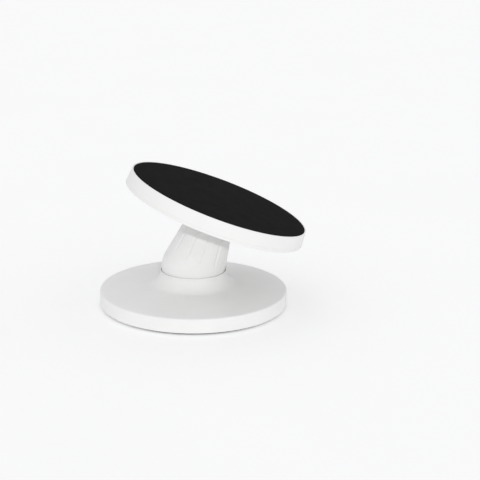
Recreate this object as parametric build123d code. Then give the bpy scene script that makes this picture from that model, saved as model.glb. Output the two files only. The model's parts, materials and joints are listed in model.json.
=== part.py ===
"""Tilting cake turntable, in millimetres.

+Z is up and the origin is on the table, at the centre of the base. The neck and the platter are
stored tilted by TILT degrees towards +X, against their stop.

The base carries a bracket whose two ears hold the level tilt axle, which lies along Y. The neck
hangs on that axle, closes round the bracket like a bell, and carries the platter on a ball race.
Everything on the neck is drawn upright in the head's own frame, whose origin is the tilt axle, and
on_head() then tilts it into place.
"""

from build123d import *
import os
from math import cos, radians, sin, sqrt, tan

# ---------------------------------------------------------------- driving dimensions

TILT = 20.0  # degrees, the neck's stop on either side of level
PIVOT_Z = 61.5  # height of the tilt axle
PLATTER_R = 152.5  # a twelve inch platter, measured at the skirt's lower edge
PLATTER_TOP_R = 149.9  # the skirt leans in towards its top
MAT_R = 147.3
MAT_TOP = 125.0  # height of the mat above the axle, along the neck
MAT_T = 2.5
DECK_T = 3.0
SKIRT_H = 25.6  # from the mat's top down to the skirt's edge
SKIRT_T = 2.5

BASE_R = 155.0
BASE_RIM_Z = 26.4
BASE_WALL = 2.8
FOOT_H = 3.0  # the shell stands this far clear of the table
LIP_R = 53.2  # the opening that the neck stands in
LIP_OUT = 55.0
LIP_Z = 58.0
COVER_T = 3.0

BALL_HEAD_R = 52.5  # the round lower part of the neck, about the axle
NECK_TAPER = 10.5  # degrees to each side
NECK_TOP = 50.0
NECK_WALL = 3.0
NECK_EDGE_ANGLE = 30.0  # the round part ends this many degrees below the axle's level
FLUTES = 12
FLUTE_PHASE = 5.0

COLLAR_TOP = 96.0
PLATE_T = 3.0

BALL_R = 3.0
BALLS = 24
RACE_R = 48.0
RACE_IN = 40.0
RACE_OUT = 58.0
RACE_T = 3.5
RACE_GAP = 3.4  # between the two races
GROOVE_CLEARANCE = 0.1

AXLE_R = 5.0
RUNNING = 0.04  # radial clearance of a turning fit
BUSH_R = 7.5
EAR_IN = 18.0  # the bracket's ears, measured along Y from the middle
EAR_OUT = 24.0
CHEEK_IN = 25.0  # the yoke's cheeks
CHEEK_OUT = 31.0
EAR_R = 14.0

DRUM_R = 34.0  # brake track below the axle
DRUM_ANGLE = 36.0  # it reaches this many degrees to each side
SHOE_GAP = 0.25

BUTTON_Y = 97.0
BUTTON_R = 10.0
ARM_Z = 16.0  # underside of the brake arm
ARM_T = 3.0
ARM_HALF = 7.0

LOCK_TRAVEL = 2.6
LOCK_ARM_HALF = 6.0
LOCK_IN = 21.5  # the lock pad's place, measured from the neck's centre
LOCK_OUT = 30.5

# ---------------------------------------------------------------- worked out from those

PLATE_TOP = COLLAR_TOP + PLATE_T
RACE_LOW_TOP = PLATE_TOP + RACE_T
RACE_HIGH = RACE_LOW_TOP + RACE_GAP
BALL_N = RACE_LOW_TOP + RACE_GAP / 2
BOSS_LOW = RACE_HIGH + RACE_T  # underside of the platter's boss on the upper race
DECK_TOP = MAT_TOP - MAT_T
DECK_LOW = DECK_TOP - DECK_T
SKIRT_LOW = MAT_TOP - SKIRT_H
TRACK_LOW = 106.5  # underside of the platter's brake track
PAD_TOP = TRACK_LOW - LOCK_TRAVEL - 0.3
COVER_TOP = FOOT_H + COVER_T
TANGENT_R = BALL_HEAD_R * cos(radians(NECK_TAPER))  # where the taper leaves the ball
TANGENT_N = BALL_HEAD_R * sin(radians(NECK_TAPER))

BASE_SLOPE = 0.1065  # rise of the base's top per millimetre inwards
FLARE_R = 20.0
FLARE_X = LIP_OUT + FLARE_R
RIM_R = 152.0  # the top's slope is measured from here
FLARE_Z = BASE_RIM_Z + (RIM_R - FLARE_X) * BASE_SLOPE + FLARE_R * sqrt(1 + BASE_SLOPE**2)

LOWEST = (Align.CENTER, Align.CENTER, Align.MIN)


# ---------------------------------------------------------------- small helpers


def neck_radius(n):
    """Outside radius of the tapered neck at height n above the axle."""
    return TANGENT_R - (n - TANGENT_N) * tan(radians(NECK_TAPER))


def base_top(r):
    """Height of the base's sloping top at radius r."""
    return BASE_RIM_Z + (RIM_R - r) * BASE_SLOPE


def rod(r, low, high, x=0.0, y=0.0):
    return Pos(x, y, low) * Cylinder(r, high - low, align=LOWEST)


def ring(outer, inner, low, high):
    return rod(outer, low, high) - rod(inner, low, high)


def block(x0, x1, y0, y1, z0, z1):
    size = (x1 - x0, y1 - y0, z1 - z0)
    return Pos((x0 + x1) / 2, (y0 + y1) / 2, (z0 + z1) / 2) * Box(*size)


def turned(outline):
    """A solid of revolution about Z from a closed outline drawn in X and Z."""
    return revolve(make_face(Plane.XZ * outline), Axis.Z)


def lathe(*points):
    return turned(Polyline(*points, close=True))


def along_y(shape_xz, y0, y1):
    """A plate with this outline in X and Z, from y0 to y1."""
    return Pos(0, y1, 0) * extrude(Plane.XZ * shape_xz, y1 - y0)


def rod_y(r, y0, y1, z=0.0):
    return Pos(0, 0, z) * along_y(Circle(r), y0, y1)


def around(count, radius, start=0.0):
    """Places spaced evenly on a circle."""
    return [Rot(0, 0, start + i * 360 / count) * Pos(radius, 0, 0) for i in range(count)]


def screw(r, head_r, low, high, head_t):
    """A screw with a cross recess, standing along Z. A negative head_t puts the head at its low end."""
    head_up = head_t > 0
    outer = high if head_up else low
    inner = outer - head_t
    head = rod(head_r, min(outer, inner), max(outer, inner))
    bottom = outer - 0.6 * head_t
    half = 0.6 * head_r
    wing = 0.14 * head_r
    cross = block(-half, half, -wing, wing, min(outer, bottom), max(outer, bottom))
    return rod(r, low, high) + head - cross - Rot(0, 0, 90) * cross


def on_head(shape):
    """Places a shape drawn in the head's frame."""
    return Pos(0, 0, PIVOT_Z) * Rot(0, TILT, 0) * shape


# ---------------------------------------------------------------- base


def base_outline(inset):
    """The dome, from its rim to its lip, drawn inset from the outside by this much."""
    side = BASE_R - inset
    slope_length = sqrt(1 + BASE_SLOPE**2)
    corner = (side, base_top(side) - inset * slope_length)
    arc_r = FLARE_R + inset
    slope_end = (FLARE_X - arc_r * BASE_SLOPE / slope_length, FLARE_Z - arc_r / slope_length)
    middle = radians(222)
    flare_middle = (FLARE_X + arc_r * cos(middle), FLARE_Z + arc_r * sin(middle))
    flare_top = (FLARE_X - arc_r, FLARE_Z)
    rim = FilletPolyline((side, FOOT_H), corner, slope_end, radius=3.0 - 0.5 * inset)
    flare = ThreePointArc(slope_end, flare_middle, flare_top)
    lip = (FLARE_X - arc_r, LIP_Z)
    close = Polyline(flare_top, lip, (0, LIP_Z), (0, FOOT_H), (side, FOOT_H))
    return turned(rim + flare + close)


COVER_SCREW_R = 132.0
SHELL_RIBS = 12
SOCKET_R = 80.2  # the flare and the lip above it are a ring of their own
SOCKET_FLANGE = 4.0


def base_skin():
    return base_outline(0) - base_outline(BASE_WALL)


def base_shell():
    inside = base_outline(BASE_WALL)
    shell = base_skin() - rod(SOCKET_R, 0, 2 * LIP_Z)
    ribs = [place * block(-16, 18, -1, 1, 18, 30) for place in around(SHELL_RIBS, COVER_SCREW_R, 15)]
    bosses = [place * rod(5, COVER_TOP, 30) for place in around(6, COVER_SCREW_R)]
    guide = rod(BUTTON_R + 2.5, 22.3, 34, y=BUTTON_Y)
    shell += (Compound(ribs + bosses) + guide) & inside
    shell -= Compound([place * rod(1.5, COVER_TOP, 18) for place in around(6, COVER_SCREW_R)])
    return shell - rod(BUTTON_R + 0.3, 20, 40, y=BUTTON_Y)


def neck_socket():
    """The flared ring that the neck stands in, with a flange under the dome's inner edge."""
    flange = base_outline(BASE_WALL) - base_outline(BASE_WALL + 2)
    flange &= ring(SOCKET_R + SOCKET_FLANGE, SOCKET_R - 6, 0, 2 * LIP_Z)
    flare = base_skin() & rod(SOCKET_R, 0, 2 * LIP_Z)
    return flare + flange - rod(LIP_R, 0, 2 * LIP_Z)


FOOT_IN = 140.0
FOOT_OUT = 149.0
FOOT_TOP = 4.2
SPRING_SEAT_R = 3.8
BRACKET_X = 24.0
BRACKET_Y = 32.0


def bracket_places():
    return [Pos(sx * BRACKET_X, sy * BRACKET_Y, 0) for sx in (-1, 1) for sy in (-1, 1)]


def bottom_cover():
    cover = rod(BASE_R - BASE_WALL, FOOT_H, COVER_TOP)
    cover -= ring(FOOT_OUT, FOOT_IN, FOOT_H, FOOT_TOP)
    cover += rod(SPRING_SEAT_R, COVER_TOP, COVER_TOP + 2.5, y=BUTTON_Y)
    hole = rod(1.7, FOOT_H, COVER_TOP) + rod(3.3, FOOT_H, FOOT_H + 1.6)
    for place in around(6, COVER_SCREW_R) + bracket_places():
        cover -= place * hole
    return cover


def cover_screws():
    one = screw(1.5, 3.2, FOOT_H, 16, -1.6)
    return Compound([place * one for place in around(6, COVER_SCREW_R)])


def foot_ring():
    foot = ring(FOOT_OUT, FOOT_IN, 0, FOOT_TOP)
    return fillet(foot.edges().group_by(Axis.Z)[0], 0.8)


BRACKET_FLOOR = 4.0


def pivot_bracket():
    """A floor plate with two ears, each stiffened on its outer side."""
    low = COVER_TOP
    floor_top = low + BRACKET_FLOOR
    floor = Pos(0, 0, low) * extrude(RectangleRounded(60, 76, 5), BRACKET_FLOOR)
    outline = Polyline((-20, low), (20, low), (EAR_R, PIVOT_Z), (-EAR_R, PIVOT_Z), close=True)
    ear = make_face(outline) + Pos(0, PIVOT_Z) * Circle(EAR_R)
    gusset = Polyline((EAR_OUT, low), (EAR_OUT + 12, low), (EAR_OUT + 12, floor_top), (EAR_OUT, 36), close=True)
    web = extrude(Plane.YZ * make_face(gusset), 2.5, both=True)
    bracket = floor
    for turn in (0, 180):
        bracket += Rot(0, 0, turn) * (along_y(ear, EAR_IN, EAR_OUT) + web)
    bracket -= rod_y(BUSH_R, -EAR_OUT, EAR_OUT, PIVOT_Z)
    window = block(-ARM_HALF - 1, ARM_HALF + 1, EAR_IN, EAR_OUT + 14, floor_top, ARM_Z + ARM_T + 1.5)
    bracket -= window
    for place in bracket_places():
        bracket -= place * rod(1.5, low, floor_top)
    return bracket


def bracket_screws():
    one = screw(1.5, 3.2, FOOT_H, COVER_TOP + BRACKET_FLOOR, -1.6)
    return Compound([place * one for place in bracket_places()])


def axle_bushings():
    bush = rod_y(BUSH_R, EAR_IN, EAR_OUT, PIVOT_Z) + rod_y(9.5, EAR_IN - 1, EAR_IN, PIVOT_Z)
    bush -= rod_y(AXLE_R + RUNNING, EAR_IN - 1, EAR_OUT, PIVOT_Z)
    return Compound([Rot(0, 0, turn) * bush for turn in (0, 180)])


SPRING_R = 6.0
SPRING_WIRE = 0.6


def brake_spring():
    height = ARM_Z - COVER_TOP - 2 * SPRING_WIRE
    path = Helix(height / 4, height, SPRING_R)
    coil = sweep(Plane(path @ 0, z_dir=path % 0) * Circle(SPRING_WIRE), path=path, is_frenet=True)
    return Pos(0, BUTTON_Y, COVER_TOP + SPRING_WIRE) * coil


# ---------------------------------------------------------------- tilt release, moves straight down


def brake_slider():
    """The arm from below the brake track to the button."""
    top = ARM_Z + ARM_T
    arm = block(-ARM_HALF, ARM_HALF, -9, BUTTON_Y, ARM_Z, top)
    arm += rod(BUTTON_R + 2, ARM_Z, top, y=BUTTON_Y)
    arm += block(-2, 2, 8, BUTTON_Y - 14, top, top + 1)
    arm += block(-ARM_HALF, ARM_HALF, -7, 7, top, top + 4)
    return arm - rod(1.6, ARM_Z, top, y=BUTTON_Y)


def brake_shoe():
    """A rubber block whose top follows the brake track."""
    block_low = ARM_Z + ARM_T + 4
    shoe = block(-9, 9, -7, 7, block_low, block_low + 8)
    return shoe - rod_y(DRUM_R + SHOE_GAP, -8, 8, PIVOT_Z)


def release_button():
    low = ARM_Z + ARM_T
    top = base_top(BUTTON_Y) + 5
    stem = fillet(rod(BUTTON_R, low, top).edges().group_by(Axis.Z)[-1], 1.6)
    button = stem + rod(BUTTON_R + 1.8, low, low + 3)
    return Pos(0, BUTTON_Y, 0) * (button - rod(1.4, low, low + 9))


def button_screw():
    return Pos(0, BUTTON_Y, 0) * screw(1.4, 3, ARM_Z - 1.5, ARM_Z + ARM_T + 8, -1.5)


# ---------------------------------------------------------------- tilting head


def neck_body(inset):
    """The bell: a taper running tangent into a ball about the axle."""
    taper = radians(NECK_TAPER)
    r = BALL_HEAD_R - inset
    slack = inset / cos(taper)
    top = (neck_radius(NECK_TOP) - slack, NECK_TOP)
    tangent = (r * cos(taper), r * sin(taper))
    low = radians(-NECK_EDGE_ANGLE)
    middle = (taper + low) / 2
    side = Line(top, tangent)
    ball = ThreePointArc(tangent, (r * cos(middle), r * sin(middle)), (r * cos(low), r * sin(low)))
    close = Polyline((r * cos(low), r * sin(low)), (0, r * sin(low)), (0, NECK_TOP), top)
    return turned(side + ball + close)


FLUTE_CUT_R = 4.0
FLUTE_LOW = 25.0
FLUTE_LOW_DEPTH = 0.9
FLUTE_DEEPENS = 0.4  # degrees by which a flute runs deeper towards its top


def flutes():
    """Round-ended cutters that run down the taper, all round the neck and its collar."""
    tool = rod(FLUTE_CUT_R, 0, COLLAR_TOP + 4 - FLUTE_LOW) + Sphere(FLUTE_CUT_R)
    start = neck_radius(FLUTE_LOW) + FLUTE_CUT_R - FLUTE_LOW_DEPTH
    one = Pos(start, 0, FLUTE_LOW) * Rot(0, -NECK_TAPER - FLUTE_DEEPENS, 0) * tool
    return [turn * one for turn in around(FLUTES, 0, FLUTE_PHASE)]


YOKE_TOP = 46.0
YOKE_LOW = 42.0
HUB_HOLE_R = 14.0
YOKE_SCREW_R = 30.0
QUADRANT_SCREW_X = 15.0
HUB_HALF = 16.5
CLIP_Y = 31.7  # the middle of each clip's groove


def neck_shell():
    mouth_r = (BALL_HEAD_R - NECK_WALL) * cos(radians(NECK_EDGE_ANGLE))
    shell = neck_body(0) - neck_body(NECK_WALL) - rod(mouth_r, -BALL_HEAD_R, 0)
    shell += rod(neck_radius(NECK_TOP) - 1, YOKE_TOP, NECK_TOP) - rod(HUB_HOLE_R, YOKE_TOP, NECK_TOP)
    shell -= flutes()
    for place in around(4, YOKE_SCREW_R, 45):
        shell -= place * rod(2.2, YOKE_TOP, NECK_TOP)
    return shell


def tilt_yoke():
    """A round plate under the neck's deck, with a cheek outside each ear."""
    outline = Polyline((-EAR_R, 0), (EAR_R, 0), (EAR_R, YOKE_LOW), (-EAR_R, YOKE_LOW), close=True)
    cheek = make_face(outline) + Circle(EAR_R)
    yoke = rod(38, YOKE_LOW, YOKE_TOP)
    for turn in (0, 180):
        yoke += Rot(0, 0, turn) * along_y(cheek, CHEEK_IN, CHEEK_OUT)
    yoke -= rod_y(AXLE_R, -CHEEK_OUT, CHEEK_OUT)
    for place in around(4, YOKE_SCREW_R, 45):
        yoke -= place * rod(2.2, YOKE_LOW, YOKE_TOP)
    for place in around(2, QUADRANT_SCREW_X):
        yoke -= place * (rod(1.7, YOKE_LOW, YOKE_TOP) + rod(3.3, YOKE_TOP - 1.8, YOKE_TOP))
    return yoke


def brake_quadrant():
    """The curved brake track, its hub on the axle and its flange under the yoke."""
    low = DRUM_R * sin(radians(DRUM_ANGLE))
    deep = 2 * DRUM_R
    wedge = make_face(Polyline((0, 0), (deep * low / DRUM_R, -deep * cos(radians(DRUM_ANGLE))),
                               (-deep * low / DRUM_R, -deep * cos(radians(DRUM_ANGLE))), close=True))
    disc = Circle(DRUM_R) & wedge
    track = disc - Circle(DRUM_R - 5)
    part = along_y(disc, -3, 3) + along_y(track, -8, 8) + rod_y(11, -HUB_HALF, HUB_HALF)
    part += block(-8, 8, -3, 3, 0, YOKE_LOW) + block(-20, 20, -8, 8, YOKE_LOW - 6, YOKE_LOW)
    part -= rod_y(AXLE_R, -HUB_HALF, HUB_HALF)
    part -= rod(1.5, -16, 16)
    for place in around(2, QUADRANT_SCREW_X):
        part -= place * rod(1.5, YOKE_LOW - 6, YOKE_LOW)
    return part


def drive_pin():
    return rod(1.5, -15, 15)


def tilt_axle():
    axle = rod_y(AXLE_R, -34, 34)
    for side in (-1, 1):
        axle -= rod_y(AXLE_R, side * CLIP_Y - 0.5, side * CLIP_Y + 0.5) - rod_y(4, -34, 34)
    axle -= rod(1.5, -15, 15)
    return chamfer(axle.edges().group_by(Axis.Y)[0] + axle.edges().group_by(Axis.Y)[-1], 0.6)


def axle_clips():
    inner, outer = CLIP_Y - 0.5, CLIP_Y + 0.5
    clip = rod_y(8, inner, outer) - rod_y(4, inner, outer) - block(-3, 3, inner, outer, 0, 9)
    return Compound([clip, Rot(0, 0, 180) * clip])


def quadrant_screws():
    one = screw(1.5, 3.2, YOKE_LOW - 6, YOKE_TOP, 1.8)
    return Compound([place * one for place in around(2, QUADRANT_SCREW_X)])


def yoke_screws():
    one = screw(1.8, 3.6, YOKE_LOW - 3, NECK_TOP + 11, -3)
    return Compound([place * one for place in around(4, YOKE_SCREW_R, 45)])


PLATE_SCREW_R = 24.0
COLLAR_DECK = 3.0
LOCK_SLOT = LOCK_ARM_HALF + 0.4
THUMB_LOW = 72.0
THUMB_HIGH = 78.0


def lock_slot(low, high):
    """The way that the lock's upright needs through a level plate."""
    return block(-LOCK_SLOT, LOCK_SLOT, 22.6, 29.4, low, high)


def bearing_collar():
    """The tapered collar between the neck and the platter, open below."""
    wall = NECK_WALL
    outside = lathe((0, NECK_TOP), (neck_radius(NECK_TOP), NECK_TOP),
                    (neck_radius(COLLAR_TOP), COLLAR_TOP), (0, COLLAR_TOP))
    ceiling = COLLAR_TOP - COLLAR_DECK
    inside = lathe((0, NECK_TOP), (neck_radius(NECK_TOP) - wall, NECK_TOP),
                   (neck_radius(ceiling) - wall, ceiling), (0, ceiling))
    collar = outside - inside
    boss = rod(5, NECK_TOP, NECK_TOP + 13) + block(3, 14, -1.5, 1.5, NECK_TOP, NECK_TOP + 13)
    bosses = [place * boss for place in around(4, YOKE_SCREW_R, 45)]
    bosses += [place * rod(4.5, 80, COLLAR_TOP) for place in around(4, PLATE_SCREW_R, 45)]
    collar += Compound(bosses) & outside
    for place in around(4, YOKE_SCREW_R, 45):
        collar -= place * rod(1.8, NECK_TOP, NECK_TOP + 12)
    for place in around(4, PLATE_SCREW_R, 45):
        collar -= place * rod(1.5, 84, COLLAR_TOP)
    collar -= rod(HUB_HOLE_R, ceiling, COLLAR_TOP)
    collar -= lock_slot(ceiling, COLLAR_TOP)
    collar -= flutes()
    return collar - block(-LOCK_SLOT, LOCK_SLOT, 30, 50, THUMB_LOW - 0.8, THUMB_HIGH + LOCK_TRAVEL + 0.8)


SPINDLE_R = 5.0
HUB_LOW = 84.0
PLATE_R = 62.0
RACE_SCREW_R = 54.5
RACE_SCREWS = 6


def bearing_plate():
    """A round plate with a central hub for the spindle."""
    plate = rod(PLATE_R, COLLAR_TOP, PLATE_TOP) + rod(11, HUB_LOW, COLLAR_TOP)
    plate -= rod(BUSH_R, HUB_LOW, PLATE_TOP)
    plate -= lock_slot(COLLAR_TOP, PLATE_TOP)
    for place in around(4, PLATE_SCREW_R, 45):
        plate -= place * (rod(1.7, COLLAR_TOP, PLATE_TOP) + rod(3.3, PLATE_TOP - 1.6, PLATE_TOP))
    for place in around(RACE_SCREWS, RACE_SCREW_R, 30):
        plate -= place * rod(1.2, COLLAR_TOP, PLATE_TOP)
    return plate


def plate_screws():
    one = screw(1.5, 3.2, PLATE_TOP - 14, PLATE_TOP, 1.6)
    return Compound([place * one for place in around(4, PLATE_SCREW_R, 45)])


def spindle_bushing():
    bush = rod(BUSH_R, HUB_LOW, PLATE_TOP) + rod(10, PLATE_TOP, PLATE_TOP + 1)
    return bush - rod(SPINDLE_R + RUNNING, HUB_LOW, PLATE_TOP + 1)


def race(low):
    """A flat steel ring with a ball groove on the side that faces the balls."""
    groove = Pos(0, 0, BALL_N) * Torus(RACE_R, BALL_R + GROOVE_CLEARANCE)
    return ring(RACE_OUT, RACE_IN, low, low + RACE_T) - groove


def lower_race():
    part = race(PLATE_TOP)
    for place in around(RACE_SCREWS, RACE_SCREW_R, 30):
        part -= place * (rod(1.2, PLATE_TOP, RACE_LOW_TOP) + rod(2.4, RACE_LOW_TOP - 1.4, RACE_LOW_TOP))
    return part


def lower_race_screws():
    one = screw(1.2, 2.3, COLLAR_TOP, RACE_LOW_TOP, 1.4)
    return Compound([place * one for place in around(RACE_SCREWS, RACE_SCREW_R, 30)])


# ---------------------------------------------------------------- ball bearing


def ball_cage():
    cage = ring(RACE_R + 5.5, RACE_R - 5.5, BALL_N - 0.9, BALL_N + 0.9)
    for place in around(BALLS, RACE_R):
        cage -= place * rod(BALL_R + 0.15, BALL_N - 1, BALL_N + 1)
    return cage


def bearing_balls():
    return Compound([place * Pos(0, 0, BALL_N) * Sphere(BALL_R) for place in around(BALLS, RACE_R)])


# ---------------------------------------------------------------- platter, spins on the head

RIB_LOW = 112.0
PLATTER_RIBS = 12
BOLT_HEAD_R = 12.0
SPINDLE_HUB_R = 16.0
WASHER_R = 11.0
BEAD_N = SKIRT_LOW + 4.5
LEDGE_T = 2.0


def skirt_radius(n):
    """Outside radius of the platter's leaning skirt at height n."""
    return PLATTER_TOP_R + (MAT_TOP - n) / SKIRT_H * (PLATTER_R - PLATTER_TOP_R)


def skirt_cone(inset, low, high):
    return lathe((0, low), (skirt_radius(low) - inset, low), (skirt_radius(high) - inset, high), (0, high))


def platter_skirt():
    """The leaning outer ring. Its top edge frames the mat, and a ledge inside it holds the deck."""
    outside = skirt_cone(0, SKIRT_LOW, MAT_TOP)
    outside = fillet(outside.edges().filter_by(GeomType.CIRCLE), 1.0)
    bead_r = skirt_radius(BEAD_N)
    skirt = outside - ring(bead_r + 1, bead_r - 0.4, BEAD_N - 0.4, BEAD_N + 0.4)
    skirt -= rod(MAT_R + 0.2, DECK_LOW, MAT_TOP)
    skirt -= skirt_cone(SKIRT_T, SKIRT_LOW, DECK_LOW - LEDGE_T)
    return skirt - rod(MAT_R - 3, DECK_LOW - LEDGE_T, DECK_LOW)


def platter():
    """The round deck under the mat, with its ribs, race seat, brake track and spindle hub."""
    body = rod(MAT_R + 0.15, DECK_LOW, DECK_TOP)
    rib = block(SPINDLE_HUB_R, MAT_R - 3.5, -1, 1, RIB_LOW, DECK_LOW)
    for turn in around(PLATTER_RIBS, 0, 15):
        body += turn * rib
    body += ring(106, 104, RIB_LOW, DECK_LOW)
    body += ring(RACE_OUT, RACE_IN, BOSS_LOW, DECK_LOW)
    body += ring(LOCK_OUT + 1, LOCK_IN - 1, TRACK_LOW, DECK_LOW)
    body += rod(SPINDLE_HUB_R, PLATE_TOP + 2.3, DECK_LOW)
    body -= rod(SPINDLE_R, PLATE_TOP, MAT_TOP) + rod(BOLT_HEAD_R + 0.2, DECK_LOW, DECK_TOP)
    for place in around(RACE_SCREWS, RACE_SCREW_R):
        body -= place * rod(1.2, BOSS_LOW, BOSS_LOW + 6)
    return body


def non_slip_mat():
    mat = rod(MAT_R, DECK_TOP, MAT_TOP)
    return fillet(mat.edges().group_by(Axis.Z)[-1], 0.6)


def upper_race():
    part = race(RACE_HIGH)
    for place in around(RACE_SCREWS, RACE_SCREW_R):
        part -= place * (rod(1.2, RACE_HIGH, BOSS_LOW) + rod(2.4, RACE_HIGH, RACE_HIGH + 1.4))
    return part


def upper_race_screws():
    one = screw(1.2, 2.3, RACE_HIGH, BOSS_LOW + 5, -1.4)
    return Compound([place * one for place in around(RACE_SCREWS, RACE_SCREW_R)])


WASHER_TOP = HUB_LOW - 0.3
NUT_TOP = WASHER_TOP - 1.0
NUT_LOW = NUT_TOP - 5.0


def spindle_bolt():
    return rod(SPINDLE_R, NUT_LOW - 1, DECK_TOP - 0.3) + rod(BOLT_HEAD_R, DECK_LOW, DECK_TOP - 0.3)


def thrust_washers():
    upper = ring(WASHER_R, SPINDLE_R, PLATE_TOP + 1.3, PLATE_TOP + 2.3)
    return Compound([upper, ring(WASHER_R, SPINDLE_R, NUT_TOP, WASHER_TOP)])


def lock_nut():
    nut = Pos(0, 0, NUT_LOW) * extrude(RegularPolygon(9.2, 6), NUT_TOP - NUT_LOW)
    return nut - rod(SPINDLE_R, NUT_LOW, NUT_TOP)


# ---------------------------------------------------------------- spin lock, slides along the neck


def lock_slider():
    """An upright below the platter's brake track, with a foot out through the collar."""
    half = LOCK_ARM_HALF
    upright = block(-half, half, 23, 29, THUMB_LOW, PAD_TOP - 2)
    return upright + block(-half, half, 28, 44, THUMB_LOW, THUMB_HIGH)


def lock_pad():
    return block(-LOCK_ARM_HALF, LOCK_ARM_HALF, LOCK_IN, LOCK_OUT, PAD_TOP - 2, PAD_TOP)


def thumb_tab():
    """The outside grip, with three raised bars for the thumb."""
    middle = (THUMB_LOW + THUMB_HIGH) / 2
    tab = Pos(0, 46.5, middle) * Box(20, 5, 13)
    tab = fillet(tab.edges().group_by(Axis.Y)[-1], 1.2)
    for step in (-3.2, 0, 3.2):
        tab += block(-7, 7, 48.8, 49.7, middle + step - 0.6, middle + step + 0.6)
    return tab


HEAD_PIECES = {
    "neck_shell": neck_shell,
    "tilt_yoke": tilt_yoke,
    "brake_quadrant": brake_quadrant,
    "drive_pin": drive_pin,
    "tilt_axle": tilt_axle,
    "axle_clips": axle_clips,
    "quadrant_screws": quadrant_screws,
    "yoke_screws": yoke_screws,
    "bearing_collar": bearing_collar,
    "bearing_plate": bearing_plate,
    "plate_screws": plate_screws,
    "spindle_bushing": spindle_bushing,
    "lower_race": lower_race,
    "lower_race_screws": lower_race_screws,
    "ball_cage": ball_cage,
    "bearing_balls": bearing_balls,
    "platter": platter,
    "platter_skirt": platter_skirt,
    "non_slip_mat": non_slip_mat,
    "upper_race": upper_race,
    "upper_race_screws": upper_race_screws,
    "spindle_bolt": spindle_bolt,
    "thrust_washers": thrust_washers,
    "lock_nut": lock_nut,
    "lock_slider": lock_slider,
    "lock_pad": lock_pad,
    "thumb_tab": thumb_tab,
}

BASE_PIECES = {
    "base_shell": base_shell,
    "neck_socket": neck_socket,
    "bottom_cover": bottom_cover,
    "cover_screws": cover_screws,
    "foot_ring": foot_ring,
    "pivot_bracket": pivot_bracket,
    "bracket_screws": bracket_screws,
    "axle_bushings": axle_bushings,
    "brake_spring": brake_spring,
    "brake_slider": brake_slider,
    "brake_shoe": brake_shoe,
    "release_button": release_button,
    "button_screw": button_screw,
}

os.makedirs("parts", exist_ok=True)
for name, make in BASE_PIECES.items():
    export_step(make(), f"parts/{name}.step")
for name, make in HEAD_PIECES.items():
    export_step(on_head(make()), f"parts/{name}.step")
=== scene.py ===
"""The looks of a tilting cake turntable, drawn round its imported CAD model.

Everything is in metres, +Z up, in the CAD model's frame. Pieces on the tilting neck are drawn
upright in the head's own frame, whose origin is the tilt axle, and HEAD puts them in place.
"""

import json
from math import atan2, ceil, cos, hypot, pi, radians, sin, sqrt, tan

import bmesh
import bpy
from mathutils import Matrix, Vector


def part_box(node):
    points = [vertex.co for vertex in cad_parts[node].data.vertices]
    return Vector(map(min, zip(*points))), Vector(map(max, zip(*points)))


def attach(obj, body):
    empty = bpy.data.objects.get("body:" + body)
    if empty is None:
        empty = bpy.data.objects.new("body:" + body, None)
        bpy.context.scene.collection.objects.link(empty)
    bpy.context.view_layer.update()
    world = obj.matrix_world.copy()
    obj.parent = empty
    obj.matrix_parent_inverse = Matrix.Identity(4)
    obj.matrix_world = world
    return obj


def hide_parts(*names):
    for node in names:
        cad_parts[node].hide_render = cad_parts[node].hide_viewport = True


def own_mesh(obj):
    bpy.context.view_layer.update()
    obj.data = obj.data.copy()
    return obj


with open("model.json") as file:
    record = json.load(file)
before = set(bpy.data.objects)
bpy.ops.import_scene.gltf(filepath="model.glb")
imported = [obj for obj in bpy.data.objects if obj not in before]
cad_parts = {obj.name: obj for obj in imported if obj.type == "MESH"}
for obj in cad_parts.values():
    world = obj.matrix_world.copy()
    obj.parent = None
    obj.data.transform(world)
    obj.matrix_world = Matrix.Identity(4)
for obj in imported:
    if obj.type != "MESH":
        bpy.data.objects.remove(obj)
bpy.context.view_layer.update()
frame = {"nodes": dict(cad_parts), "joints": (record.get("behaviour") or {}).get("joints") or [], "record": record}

MM = 0.001
TURNS = 320  # faces round a turned piece


# ---------------------------------------------------------------- places, read from the frame

joints = {joint["name"]: joint for joint in frame["joints"]}
PIVOT = Vector(joints["tilt"]["pos_m"])
ACROSS = Vector(joints["tilt"]["axis"]).normalized()
UP = Vector(joints["platter_spin"]["axis"]).normalized()
ALONG = ACROSS.cross(UP)
HEAD = Matrix.Translation(PIVOT) @ Matrix((ALONG, ACROSS, UP)).transposed().to_4x4()
BASE = Matrix.Identity(4)


def span(node, place=BASE):
    """Lowest height, highest height and largest radius of a CAD node about a place's own axis."""
    inverse = place.inverted()
    points = [inverse @ vertex.co for vertex in frame["nodes"][node].data.vertices]
    heights = [p.z for p in points]
    return min(heights), max(heights), max(hypot(p.x, p.y) for p in points)


# ---------------------------------------------------------------- materials

NOISE_RANGE = (0.3, 0.7)  # where most of a noise texture's values lie


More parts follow.
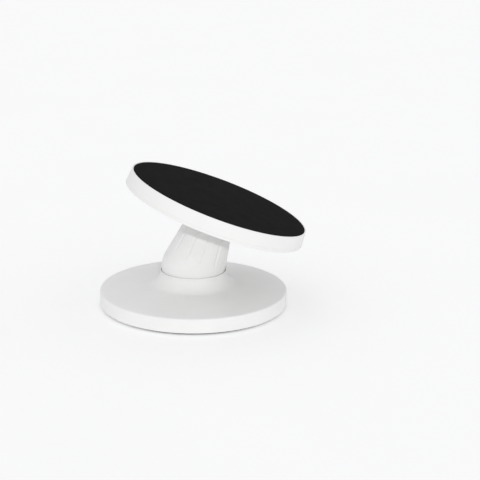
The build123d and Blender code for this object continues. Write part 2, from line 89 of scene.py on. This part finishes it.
class Paint:
    """A Principled material with a few procedural layers, worked out from object coordinates."""

    def __init__(self, name):
        self.material = bpy.data.materials.new(name)
        self.material.use_nodes = True
        self.tree = self.material.node_tree
        self.shader = self.tree.nodes["Principled BSDF"]
        self.coordinates = self.tree.nodes.new("ShaderNodeTexCoord").outputs["Object"]

    def set(self, **values):
        """Constants, set on the shader's own sockets."""
        for key, value in values.items():
            self.shader.inputs[key.replace("_", " ")].default_value = value

    def link(self, a, b):
        self.tree.links.new(a, b)

    def noise(self, size, detail=3.0, roughness=0.5):
        """Soft noise whose features are about this many metres across."""
        node = self.tree.nodes.new("ShaderNodeTexNoise")
        node.inputs["Scale"].default_value = 1 / size
        node.inputs["Detail"].default_value = detail
        node.inputs["Roughness"].default_value = roughness
        self.link(self.coordinates, node.inputs["Vector"])
        return node.outputs["Fac"]

    def cells(self, size):
        """Small raised cells, this many metres across."""
        node = self.tree.nodes.new("ShaderNodeTexVoronoi")
        node.feature = "SMOOTH_F1"
        node.inputs["Scale"].default_value = 1 / size
        node.inputs["Smoothness"].default_value = 0.35
        self.link(self.coordinates, node.inputs["Vector"])
        return node.outputs["Distance"]

    def ramp(self, value, low, high):
        """A colour between two tints, as the noise goes from its usual low to its usual high."""
        node = self.tree.nodes.new("ShaderNodeValToRGB")
        first, last = node.color_ramp.elements
        first.position, last.position = NOISE_RANGE
        first.color, last.color = (*low, 1), (*high, 1)
        self.link(value, node.inputs["Fac"])
        return node.outputs["Color"]

    def spread(self, value, low, high):
        """The same for a number."""
        node = self.tree.nodes.new("ShaderNodeMapRange")
        node.inputs["From Min"].default_value, node.inputs["From Max"].default_value = NOISE_RANGE
        node.inputs["To Min"].default_value = low
        node.inputs["To Max"].default_value = high
        self.link(value, node.inputs["Value"])
        return node.outputs["Result"]

    def bump(self, value, depth):
        """Raises the surface by about this many metres; each call adds to the last."""
        node = self.tree.nodes.new("ShaderNodeBump")
        node.inputs["Strength"].default_value = 1.0
        node.inputs["Distance"].default_value = depth
        normal = self.shader.inputs["Normal"]
        if normal.links:
            self.link(normal.links[0].from_socket, node.inputs["Normal"])
        self.link(value, node.inputs["Height"])
        self.link(node.outputs["Normal"], normal)


def moulded(name, low, high, rough, grain, depth):
    """Injection-moulded plastic: two near tints, uneven gloss and a fine spark-eroded grain."""
    paint = Paint(name)
    paint.link(paint.ramp(paint.noise(40 * MM, 4), low, high), paint.shader.inputs["Base Color"])
    paint.link(paint.spread(paint.noise(12 * MM, 5), *rough), paint.shader.inputs["Roughness"])
    paint.bump(paint.noise(9 * MM, 2), 0.02 * MM)
    paint.bump(paint.noise(grain, 4, 0.6), depth)
    paint.set(IOR=1.5)
    return paint.material


def rubber(name, low, high, rough, cell, depth, specular):
    """Rubber with a pebbled face and a dusty, uneven sheen."""
    paint = Paint(name)
    paint.link(paint.ramp(paint.noise(25 * MM, 5), low, high), paint.shader.inputs["Base Color"])
    paint.link(paint.spread(paint.noise(18 * MM, 4), *rough), paint.shader.inputs["Roughness"])
    paint.bump(paint.cells(cell), depth)
    paint.bump(paint.noise(0.3 * MM, 3), 0.3 * depth)
    paint.set(Specular_IOR_Level=specular)
    return paint.material


def metal(name, low, high, rough, scratch):
    """Plated steel with fine marks."""
    paint = Paint(name)
    paint.link(paint.ramp(paint.noise(6 * MM, 4), low, high), paint.shader.inputs["Base Color"])
    paint.link(paint.spread(paint.noise(2 * MM, 5), *rough), paint.shader.inputs["Roughness"])
    paint.bump(paint.noise(0.4 * MM, 3, 0.7), scratch)
    paint.set(Metallic=1.0)
    return paint.material


def grey(value, tint=(1.0, 1.0, 1.0)):
    """An RGB colour of this lightness, with a slight tint."""
    return tuple(value * part for part in tint)


COOL = (0.985, 0.995, 1.0)
WARM = (1.0, 0.995, 0.985)
IVORY = (0.66, 0.62, 0.50)
PALE_IVORY = (0.72, 0.68, 0.57)

RECIPES = {
    "white_gloss": (moulded, grey(0.785, WARM), grey(0.805, WARM), (0.36, 0.42), 0.5 * MM, 0.006 * MM),
    "white_matte": (moulded, grey(0.74, WARM), grey(0.79, WARM), (0.45, 0.58), 0.4 * MM, 0.012 * MM),
    "light_grey": (moulded, grey(0.50, COOL), grey(0.54, COOL), (0.42, 0.52), 0.35 * MM, 0.014 * MM),
    "black_mat": (rubber, grey(0.011), grey(0.013), (0.50, 0.56), 1.1 * MM, 0.08 * MM, 0.002),
    "dark_rubber": (rubber, grey(0.020), grey(0.032), (0.60, 0.75), 0.9 * MM, 0.04 * MM, 0.3),
    "dark_plastic": (moulded, grey(0.055), grey(0.075), (0.48, 0.62), 0.3 * MM, 0.02 * MM),
    "bushing_plastic": (moulded, IVORY, PALE_IVORY, (0.35, 0.45), 0.5 * MM, 0.005 * MM),
    "steel": (metal, grey(0.50), grey(0.60), (0.22, 0.38), 0.004 * MM),
}
MATERIALS = {name: make(name, *values) for name, (make, *values) in RECIPES.items()}


# ---------------------------------------------------------------- mesh helpers


def metres(outline):
    """Turns (radius, height) points from millimetres to metres, and leaves anything after those."""
    return [(point[0] * MM, point[1] * MM, *point[2:]) for point in outline]


def even_angles(count):
    """Directions all round, evenly spaced."""
    return [2 * pi * i / count for i in range(count)]


def steps(low, high, size):
    """Evenly spaced numbers from low to high, about this far apart."""
    count = max(1, ceil(abs(high - low) / size))
    return [low + (high - low) * i / count for i in range(count + 1)]


def rounded(corners, faces=5):
    """An outline from (radius, height, fillet) corners in millimetres, with each corner rounded."""
    points = []
    count = len(corners)
    for place, (x, z, fillet) in enumerate(corners):
        here = Vector((x, z))
        before = Vector(corners[place - 1][:2]) - here
        after = Vector(corners[(place + 1) % count][:2]) - here
        if fillet <= 0:
            points.append(here * MM)
            continue
        half = before.angle(after) / 2
        reach = fillet / tan(half)
        centre = here + (before.normalized() + after.normalized()).normalized() * fillet / sin(half)
        start = here + before.normalized() * reach - centre
        end = here + after.normalized() * reach - centre
        spokes = [start.slerp(end, i / faces).normalized() for i in range(faces + 1)]
        points += [(centre + spoke * fillet) * MM for spoke in spokes]
    return points


def cutter(name, build):
    """An object for cutting with, made from a filled bmesh."""
    bmesh.ops.recalc_face_normals(build, faces=build.faces)
    mesh = bpy.data.meshes.new(name)
    build.to_mesh(mesh)
    build.free()
    tool = bpy.data.objects.new(name, mesh)
    bpy.context.scene.collection.objects.link(tool)
    return tool


def block_cutter(low, high):
    """A block between two corners, in millimetres."""
    build = bmesh.new()
    bmesh.ops.create_cube(build, size=1.0)
    for vertex in build.verts:
        vertex.co = [MM * (a + (b - a) * (c + 0.5)) for a, b, c in zip(low, high, vertex.co)]
    return cutter("block_cutter", build)


def rod_cutter(x, y, radius, low, high, sides=64):
    """An upright rod, in millimetres."""
    build = bmesh.new()
    outline = [(0, low), (radius, low), (radius, high), (0, high)]
    lathe_faces(build, metres(outline), even_angles(sides))
    for vertex in build.verts:
        vertex.co += Vector((x, y, 0)) * MM
    return cutter("rod_cutter", build)


def carve(mesh, tools):
    """Cuts the tools out of a mesh, and removes them."""
    body = bpy.data.objects.new("body", mesh)
    bpy.context.scene.collection.objects.link(body)
    for tool in tools:
        cut = body.modifiers.new("cut", "BOOLEAN")
        cut.operation = "DIFFERENCE"
        cut.solver = "EXACT"
        cut.object = tool
    carved = bpy.data.meshes.new_from_object(body.evaluated_get(bpy.context.evaluated_depsgraph_get()))
    for item in (body, *tools):
        bpy.data.objects.remove(item)
    return carved


def finish_piece(name, mesh, material, body, place, node, sharp=35, tools=()):
    """Cuts and shades a new mesh, puts it in place, and lets it stand for a CAD node on its body."""
    build = bmesh.new()
    build.from_mesh(mesh)
    bmesh.ops.remove_doubles(build, verts=build.verts, dist=1e-7)
    bmesh.ops.recalc_face_normals(build, faces=build.faces)
    build.to_mesh(mesh)
    build.free()
    if tools:
        mesh = carve(mesh, tools)
    mesh.transform(place)
    mesh.polygons.foreach_set("use_smooth", [True] * len(mesh.polygons))
    mesh.set_sharp_from_angle(angle=radians(sharp))
    mesh.materials.clear()
    mesh.materials.append(MATERIALS[material])
    piece = bpy.data.objects.new(name, mesh)
    bpy.context.scene.collection.objects.link(piece)
    weighted = piece.modifiers.new("even_shading", "WEIGHTED_NORMAL")
    weighted.keep_sharp = True
    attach(piece, body)
    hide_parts(node)
    return piece


def lathe_faces(build, outline, angles, shape=None):
    """Turns a closed outline of (radius, height) points about Z.

    shape(point, angle) gives the radius where a point's own radius isn't to be kept.
    """
    count = len(angles)
    rings = []
    for point in outline:
        if point[0] < 1e-6:
            rings.append([build.verts.new((0, 0, point[1]))])
            continue
        radii = [shape(point, angle) if shape else point[0] for angle in angles]
        places = [(r * cos(a), r * sin(a), point[1]) for r, a in zip(radii, angles)]
        rings.append([build.verts.new(place) for place in places])
    for one, two in zip(rings, rings[1:] + rings[:1]):  # a ring of one point lies on the axis
        if len(one) == 1 and len(two) == 1:
            continue
        for i in range(count):
            j = (i + 1) % count
            if len(one) == 1:
                build.faces.new((one[0], two[i], two[j]))
            elif len(two) == 1:
                build.faces.new((one[j], one[i], two[0]))
            else:
                build.faces.new((one[i], two[i], two[j], one[j]))


def lathe(name, outline, angles=None, shape=None):
    """A mesh turned from an outline in metres."""
    build = bmesh.new()
    lathe_faces(build, outline, angles or even_angles(TURNS), shape)
    mesh = bpy.data.meshes.new(name)
    build.to_mesh(mesh)
    build.free()
    return mesh


# ---------------------------------------------------------------- platter, in millimetres

SKIRT_LEAN = 2.6  # how much narrower the skirt is at its top
SKIRT_WALL = 2.5
DECK_T = 3.0  # the platter's deck, under the mat
MAT_CLEARANCE = 0.2
LEDGE = 3.0  # how far the skirt reaches in under the deck
LEDGE_T = 2.0
LINE_Z = 4.5  # the fine line, above the skirt's lower edge
LINE_HALF = 0.5
LINE_DEPTH = 0.45
CHANNEL = (2.6, 3.3)  # the shallow channel round the mat, measured in from its edge
CHANNEL_DEPTH = 0.25


def make_skirt():
    """The leaning ring: a rounded top lip round the mat, a fine line above a rounded lower edge."""
    low, high, radius = [value / MM for value in span("platter_skirt", HEAD)]
    mat_low, _, mat_radius = [value / MM for value in span("non_slip_mat", HEAD)]
    deck_low = mat_low - DECK_T
    ledge_low = deck_low - LEDGE_T
    line = low + LINE_Z
    recess = mat_radius + MAT_CLEARANCE

    def outside(n):
        return radius - (n - low) * SKIRT_LEAN / (high - low)

    corners = [
        (outside(low) - SKIRT_WALL, low, 0.5),
        (outside(low), low, 1.1),
        (outside(line - LINE_HALF), line - LINE_HALF, 0.35),
        (outside(line) - LINE_DEPTH, line - 0.15, 0.2),
        (outside(line) - LINE_DEPTH, line + 0.15, 0.2),
        (outside(line + LINE_HALF), line + LINE_HALF, 0.35),
        (outside(high), high, 0.9),
        (recess + 0.1, high, 0.5),
        (recess, deck_low, 0),
        (recess - LEDGE, deck_low, 0.2),
        (recess - LEDGE, ledge_low, 0.4),
        (outside(ledge_low) - SKIRT_WALL, ledge_low, 0.6),
    ]
    mesh = lathe("platter_skirt_shell", rounded(corners))
    finish_piece("platter_skirt_shell", mesh, "white_gloss", "platter", HEAD, "platter_skirt")


def make_mat():
    """The black mat: a flat face, a rolled edge, and a shallow channel a little way in."""
    low, high, radius = [value / MM for value in span("non_slip_mat", HEAD)]
    channel = high - CHANNEL_DEPTH
    corners = [
        (0, low, 0),
        (radius, low, 0.3),
        (radius, high - 0.15, 0.8),
        (radius - 1.6, high, 0.6),
        (radius - CHANNEL[0], channel, 0.25),
        (radius - CHANNEL[1], channel, 0.25),
        (radius - 4.0, high, 0.3),
        (0, high, 0),
    ]
    mesh = lathe("mat_sheet", rounded(corners))
    finish_piece("mat_sheet", mesh, "black_mat", "platter", HEAD, "non_slip_mat")


# ---------------------------------------------------------------- neck, in millimetres about the axle

NECK_TOP = 50.0
NECK_TAPER = radians(10.5)
NECK_WALL = 3.0
NECK_DECK = 4.0
BALL_RADIUS = 52.5
MOUTH_ANGLE = radians(-30)  # where the round part ends
HUB_HOLE = 14.0

COLLAR_TOP = 96.0
COLLAR_DECK = 3.0
SLOT_HALF = 6.4  # the spin lock's two slots, one in the deck and one in the side
DECK_SLOT = (22.6, 29.4)  # measured outwards
SIDE_SLOT = (71.2, 81.4)  # measured upwards
SIDE_SLOT_REACH = (32.0, 50.0)  # far enough to go through the wall

FLUTES = 12
FLUTE_PHASE = radians(5)
FLUTE_CUTTER = 4.0
FLUTE_LOW = 25.0
FLUTE_LOW_DEPTH = 0.9
FLUTE_DEEPENS = radians(0.4)
FLUTE_SOFTNESS = 0.12  # rounds the flutes' edges
FLUTE_HALF = radians(5.6)  # half of the close-set stretch across a flute
FLUTE_FACES = 26
GAP_FACES = 8


def neck_radius(n, inset=0.0):
    """The taper's radius at this height, or that of a wall this far inside it."""
    ball = BALL_RADIUS - inset
    return ball * cos(NECK_TAPER) - (n - ball * sin(NECK_TAPER)) * tan(NECK_TAPER)


def neck_angles():
    """Directions round the neck, close together across each flute."""
    angles = []
    for flute in range(FLUTES):
        middle = FLUTE_PHASE + 2 * pi * flute / FLUTES
        angles += [middle - FLUTE_HALF + 2 * FLUTE_HALF * i / FLUTE_FACES for i in range(FLUTE_FACES)]
        gap = 2 * pi / FLUTES - 2 * FLUTE_HALF
        angles += [middle + FLUTE_HALF + gap * i / GAP_FACES for i in range(GAP_FACES)]
    return angles


def flute_depth(radius, n, angle):
    """How deep a flute is at this place: a round-ended groove as a ball-nosed cutter leaves it."""
    pitch = 2 * pi / FLUTES
    turn = (angle - FLUTE_PHASE + pitch / 2) % pitch - pitch / 2
    across = abs(turn) * radius
    away = hypot(across, max(0.0, FLUTE_LOW - n))
    if away >= FLUTE_CUTTER:
        return 0.0
    bottom = FLUTE_LOW_DEPTH + max(0.0, n - FLUTE_LOW) * tan(FLUTE_DEEPENS)
    raw = bottom - FLUTE_CUTTER + sqrt(FLUTE_CUTTER**2 - away**2)
    return (raw + sqrt(raw * raw + FLUTE_SOFTNESS**2)) / 2 - FLUTE_SOFTNESS**2 / 4


def fluted(point, angle):
    """The radius of a turned point, less the flute where the point is marked as on the outside."""
    if len(point) < 3:
        return point[0]
    return point[0] - MM * flute_depth(point[0] / MM, point[1] / MM, angle)


def ball_arc(ball, size):
    """Points down the round part of the neck, from the taper to the mouth."""
    return [(ball * cos(a), ball * sin(a)) for a in steps(NECK_TAPER, MOUTH_ANGLE, size)]


def make_neck():
    """The bell: smooth and round below, tapered and fluted above, with a deck inside its top."""
    heights = steps(NECK_TOP, FLUTE_LOW + 2, 1.5)
    heights += steps(FLUTE_LOW + 1.7, FLUTE_LOW - 5, 0.35)  # close rows where the flutes run out
    heights += steps(FLUTE_LOW - 6.5, BALL_RADIUS * sin(NECK_TAPER) + 1, 2)
    deck = NECK_TOP - NECK_DECK
    outline = [(neck_radius(n), n, True) for n in heights]
    outline += [(*point, True) for point in ball_arc(BALL_RADIUS, 0.035)]
    outline += ball_arc(BALL_RADIUS - NECK_WALL, 0.07)[::-1]
    outline += [(neck_radius(deck, NECK_WALL), deck), (HUB_HOLE, deck), (HUB_HOLE, NECK_TOP)]
    mesh = lathe("neck_bell", metres(outline), neck_angles(), fluted)
    finish_piece("neck_bell", mesh, "white_gloss", "tilt_head", HEAD, "neck_shell")


def make_collar():
    """The fluted collar between the neck and the platter, with the lock's slots."""
    ceiling = COLLAR_TOP - COLLAR_DECK
    outline = [(neck_radius(n), n, True) for n in steps(COLLAR_TOP, NECK_TOP, 2)]
    outline += [(neck_radius(n) - NECK_WALL, n) for n in (NECK_TOP, ceiling)]
    outline += [(HUB_HOLE, ceiling), (HUB_HOLE, COLLAR_TOP)]
    mesh = lathe("bearing_housing", metres(outline), neck_angles(), fluted)
    (inner, outer), (low, high) = DECK_SLOT, SIDE_SLOT
    tools = [
        block_cutter((-SLOT_HALF, inner, ceiling - 1), (SLOT_HALF, outer, COLLAR_TOP + 1)),
        block_cutter((-SLOT_HALF, SIDE_SLOT_REACH[0], low), (SLOT_HALF, SIDE_SLOT_REACH[1], high)),
    ]
    finish_piece("bearing_housing", mesh, "white_gloss", "tilt_head", HEAD, "bearing_collar", tools=tools)


# ---------------------------------------------------------------- base, in millimetres

BASE_WALL = 2.8
BASE_RIM_Z = 26.4
BASE_SLOPE = 0.1065  # rise of the top for each millimetre inwards
RIM_R = 152.0  # the slope is measured from here
LIP_INSIDE = 53.2
LIP_OUTSIDE = 55.0
FLARE_R = 20.0
FLARE_X = LIP_OUTSIDE + FLARE_R
SOCKET_R = 80.2
SOCKET_SEAM = 0.05
BUTTON_HOLE_R = 10.3
FOOT_INSIDE = 140.0
GROOVES = (2.4, 4.5, 6.6)  # middles of the tread's grooves, from the foot's inner edge
GROOVE_DEPTH = 0.8
GROOVE_HALF = 0.5
GROOVE_FLOOR_HALF = 0.3
FLANGE = 1.8  # how far the button's flange stands out from its stem
FLANGE_T = 3.0
BUTTON_RIM = 2.4  # width of the rim round the button's dished top
DISH_EDGE = 3.4  # where the dish's floor begins
DISH = 0.7  # depth of the dish at its edge
DISH_MIDDLE = 1.0
SPRING_WIRE = 0.6  # the wire's radius
SPRING_TURNS = 4
SPRING_STEPS = 160


def base_top(r):
    """Height of the base's sloping top at this radius."""
    return BASE_RIM_Z + (RIM_R - r) * BASE_SLOPE


def make_dome():
    """The wide shell of the base, with a hole for the button."""
    foot, _, radius = [value / MM for value in span("base_shell")]
    seam, inner = SOCKET_R + SOCKET_SEAM, radius - BASE_WALL
    corners = [
        (inner, foot, 0.6),
        (radius, foot, 1.2),
        (radius, base_top(radius), 3.0),
        (seam, base_top(SOCKET_R), 0.2),
        (seam, base_top(SOCKET_R) - BASE_WALL, 0),
        (inner, base_top(inner) - BASE_WALL, 1.5),
    ]
    mesh = lathe("base_dome", rounded(corners, 7))
    low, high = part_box("release_button")
    hole = rod_cutter(0, (low.y + high.y) / 2 / MM, BUTTON_HOLE_R, foot + 10, base_top(0) + 10)
    finish_piece("base_dome", mesh, "white_gloss", "base", BASE, "base_shell", tools=[hole])


def flare_arc(inset):
    """The hollow curve from the base's top up to the lip, or one this far under it."""
    r = FLARE_R + inset
    centre_z = base_top(FLARE_X) + FLARE_R * sqrt(1 + BASE_SLOPE**2)
    start = 1.5 * pi - atan2(BASE_SLOPE, 1)
    return [(FLARE_X + r * cos(a), centre_z + r * sin(a)) for a in steps(start, pi, 0.06)]


def make_socket():
    """The flared ring that the neck stands in, ending in a thin round lip."""
    top = span("neck_socket")[1] / MM
    edge = (LIP_OUTSIDE - LIP_INSIDE) / 2
    middle = LIP_INSIDE + edge
    lip = [(middle + edge * cos(a), top - edge + edge * sin(a)) for a in steps(0, pi, 0.4)]
    inside = [(max(r, LIP_INSIDE), z) for r, z in flare_arc(BASE_WALL)[::-1]]
    outline = [(SOCKET_R, base_top(SOCKET_R))] + flare_arc(0) + lip + inside
    outline.append((SOCKET_R, base_top(SOCKET_R) - BASE_WALL))
    mesh = lathe("socket_ring", metres(outline))
    finish_piece("socket_ring", mesh, "white_gloss", "base", BASE, "neck_socket", sharp=50)


def make_foot():
    """The rubber ring under the base, with three grooves in its tread."""
    low, high, outer = [value / MM for value in span("foot_ring")]
    tread = [(FOOT_INSIDE, high, 0.2), (FOOT_INSIDE, low, 0.8)]
    for groove in GROOVES:
        middle = FOOT_INSIDE + groove
        tread += [
            (middle - GROOVE_HALF, low, 0.15),
            (middle - GROOVE_FLOOR_HALF, low + GROOVE_DEPTH, 0.15),
            (middle + GROOVE_FLOOR_HALF, low + GROOVE_DEPTH, 0.15),
            (middle + GROOVE_HALF, low, 0.15),
        ]
    tread += [(outer, low, 0.8), (outer, high, 0.2)]
    mesh = lathe("foot_tread", rounded(tread, 3))
    finish_piece("foot_tread", mesh, "dark_rubber", "base", BASE, "foot_ring")


def make_button():
    """The release button: a dished top inside a soft rim, over a flanged stem."""
    low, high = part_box("release_button")
    middle = (low + high) / 2
    place = Matrix.Translation((middle.x, middle.y, 0))
    foot, top, flange = low.z / MM, high.z / MM, (high.x - low.x) / 2 / MM
    stem = flange - FLANGE
    corners = [
        (0, foot, 0),
        (flange, foot, 0.3),
        (flange, foot + FLANGE_T, 0.3),
        (stem, foot + FLANGE_T, 0.2),
        (stem, top, 1.5),
        (stem - BUTTON_RIM, top, 0.8),
        (stem - DISH_EDGE, top - DISH, 0.8),
        (0, top - DISH_MIDDLE, 0),
    ]
    mesh = lathe("release_cap", rounded(corners), even_angles(96))
    finish_piece("release_cap", mesh, "light_grey", "tilt_release", place, "release_button")


def wire_mesh(points, wire):
    """A round wire along these points, in metres."""
    curve = bpy.data.curves.new("wire", "CURVE")
    curve.dimensions = "3D"
    curve.bevel_depth = wire
    curve.bevel_resolution = 4
    curve.use_fill_caps = True
    route = curve.splines.new("POLY")
    route.points.add(len(points) - 1)
    for place, point in zip(route.points, points):
        place.co = (*point, 1)
    holder = bpy.data.objects.new("wire", curve)
    mesh = bpy.data.meshes.new_from_object(holder)
    bpy.data.objects.remove(holder)
    return mesh


def make_spring():
    """The coil under the button, at the CAD part's length; the real coil flattens as the button goes down, but
    this mesh keeps its shape.
    """
    low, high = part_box("brake_spring")
    middle = (low + high) / 2
    wire = SPRING_WIRE * MM
    radius = (high.x - low.x) / 2 - wire
    height = high.z - low.z
    coil = []
    for step in range(SPRING_STEPS + 1):
        along = step / SPRING_STEPS
        angle = 2 * pi * SPRING_TURNS * along
        lift = low.z + wire + (height - 2 * wire) * along
        coil.append((radius * cos(angle), radius * sin(angle), lift))
    place = Matrix.Translation((middle.x, middle.y, 0))
    spring = finish_piece("spring_coil", wire_mesh(coil, wire), "steel", "base", place, "brake_spring")
    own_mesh(spring)


# ---------------------------------------------------------------- the other pieces keep their CAD shape

CAD_SHARP = 30  # degrees


def dress_cad_nodes():
    """Gives every CAD piece that stays its own material, and soft shading on its round faces."""
    slots = {part["node"]: part["material_slot"] for part in frame["record"]["subparts"]}
    for name, piece in frame["nodes"].items():
        mesh = piece.data
        mesh.materials.clear()
        mesh.materials.append(MATERIALS[slots[name]])
        mesh.polygons.foreach_set("use_smooth", [True] * len(mesh.polygons))
        mesh.set_sharp_from_angle(angle=radians(CAD_SHARP))


# ---------------------------------------------------------------- floor, light and camera

FLOOR_HALF = 40.0
FLOOR_GLOW = 0.22  # makes up for the lamps, which don't reach the floor
ROOM_COLOUR = (0.985, 0.99, 1.0, 1)
ROOM_LIGHT = 0.79
KEY_TURN = radians(6)  # to the right of the camera
KEY_HEIGHT = radians(19)
KEY_ENERGY = 0.95
KEY_SPREAD = 1.4  # degrees, so that the platter's shadow on the neck has a firm edge
SKY_DIRECTION = (-0.5, -0.1, 0.85)
SKY_ENERGY = 0.22
SKY_SPREAD = 120

TARGET = Vector((0, 0, 0.09))
DISTANCE = 1.7
ELEVATION = radians(16.65)


def make_floor():
    """A plain pale floor, out to the horizon."""
    size = FLOOR_HALF
    mesh = bpy.data.meshes.new("floor")
    corners = [(-size, -size, 0), (size, -size, 0), (size, size, 0), (-size, size, 0)]
    mesh.from_pydata(corners, [], [(0, 1, 2, 3)])
    floor = bpy.data.objects.new("floor", mesh)
    bpy.context.scene.collection.objects.link(floor)
    paint = Paint("floor_paper")
    paint.link(paint.ramp(paint.noise(0.5, 2), grey(0.93), grey(0.94)), paint.shader.inputs["Base Color"])
    paint.set(Roughness=0.9, Specular_IOR_Level=0.1)
    paint.set(Emission_Color=(1, 1, 1, 1), Emission_Strength=FLOOR_GLOW)
    mesh.materials.append(paint.material)
    return floor


def make_sun(name, energy, spread, towards, unlit):
    """A lamp at infinity in this direction, that doesn't reach what is in the unlit collection."""
    sun = bpy.data.lights.new(name, "SUN")
    sun.energy = energy
    sun.angle = radians(spread)
    lamp = bpy.data.objects.new(name, sun)
    bpy.context.scene.collection.objects.link(lamp)
    lamp.rotation_mode = "QUATERNION"
    lamp.rotation_quaternion = Vector(towards).to_track_quat("Z", "Y")
    lamp.light_linking.receiver_collection = unlit
    lamp.visible_glossy = False


def make_light(floor):
    """A bright room, a small lamp just above the camera, and a weak wide one from above and the left."""
    world = bpy.data.worlds.new("studio")
    world.use_nodes = True
    bpy.context.scene.world = world
    background = world.node_tree.nodes["Background"]
    background.inputs["Color"].default_value = ROOM_COLOUR
    background.inputs["Strength"].default_value = ROOM_LIGHT
    unlit = bpy.data.collections.new("not_lit_by_lamps")
    unlit.objects.link(floor)
    unlit.collection_objects[0].light_linking.link_state = "EXCLUDE"
    level = cos(KEY_HEIGHT)
    key_direction = (sin(KEY_TURN) * level, -cos(KEY_TURN) * level, sin(KEY_HEIGHT))
    make_sun("key", KEY_ENERGY, KEY_SPREAD, key_direction, unlit)
    make_sun("sky", SKY_ENERGY, SKY_SPREAD, SKY_DIRECTION, unlit)


def make_camera():
    """A long lens, a little above the table; the shift puts the object left of the picture's middle."""
    data = bpy.data.cameras.new("camera")
    data.sensor_width = 36.0
    data.lens = 77.4
    data.shift_x = 0.0971
    data.shift_y = 0.0213
    data.clip_end = 100.0
    camera = bpy.data.objects.new("camera", data)
    bpy.context.scene.collection.objects.link(camera)
    camera.location = TARGET + DISTANCE * Vector((0, -cos(ELEVATION), sin(ELEVATION)))
    camera.rotation_euler = (pi / 2 - ELEVATION, 0, 0)
    bpy.context.scene.camera = camera


dress_cad_nodes()
make_skirt()
make_mat()
make_neck()
make_collar()
make_dome()
make_socket()
make_foot()
make_button()
make_spring()
make_light(make_floor())
make_camera()
bpy.context.scene.view_settings.view_transform = "Standard"
